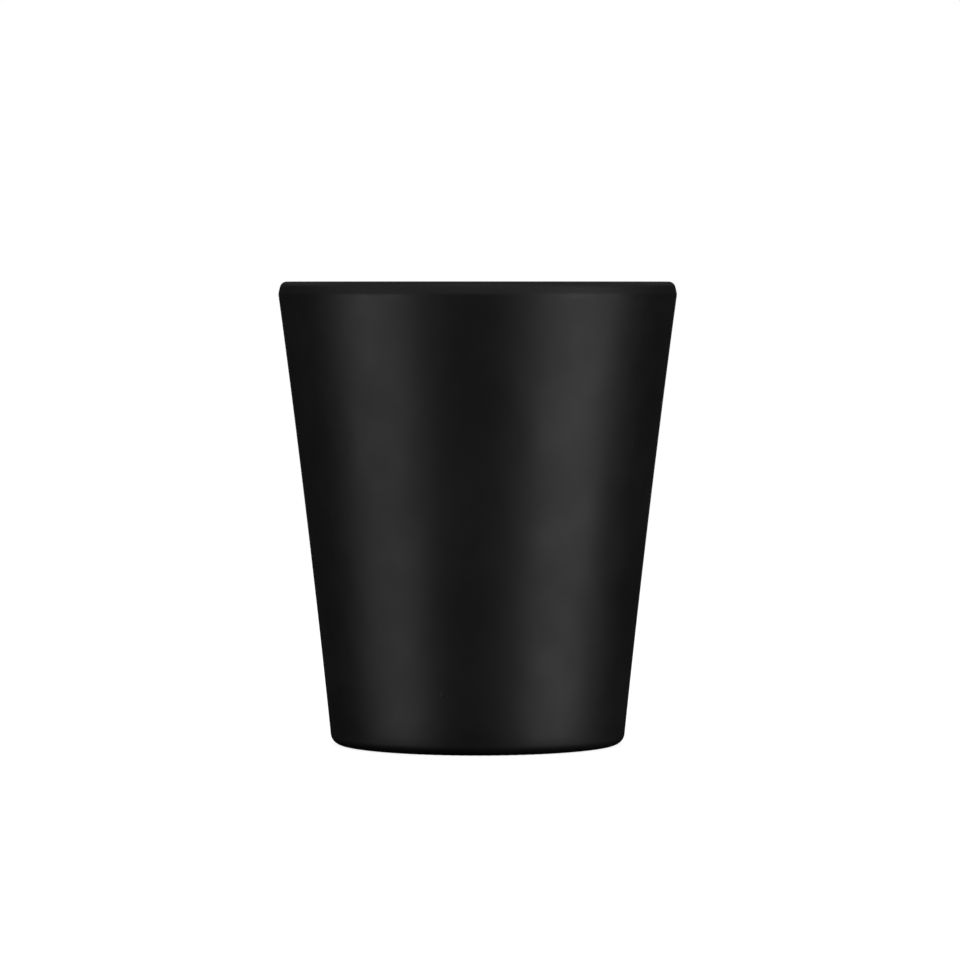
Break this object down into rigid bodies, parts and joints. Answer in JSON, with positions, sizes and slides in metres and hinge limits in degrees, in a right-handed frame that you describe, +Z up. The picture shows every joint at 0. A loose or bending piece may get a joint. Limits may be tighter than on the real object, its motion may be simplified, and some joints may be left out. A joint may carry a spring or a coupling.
{
  "type": "candle jar",
  "caption": "Empty tapered candle jar: a clear glass tumbler with a thick base and a moulded lip, coated outside in satin black lacquer.",
  "frame": {"origin": "on the jar's axis, in the plane that it stands on", "axes": "+Z up along the jar's axis; the jar is round, so +X and +Y are any two square directions across it"},
  "size_m": [0.08, 0.08, 0.093],
  "materials": {
    "clear_glass": "clear pressed soda-lime glass, fire-polished inside",
    "black_lacquer": "sprayed and baked lacquer, satin-matte black"
  },
  "bodies": {
    "root": {"glass_tumbler": "clear_glass", "black_lacquer": "black_lacquer"}
  },
  "joints": []
}
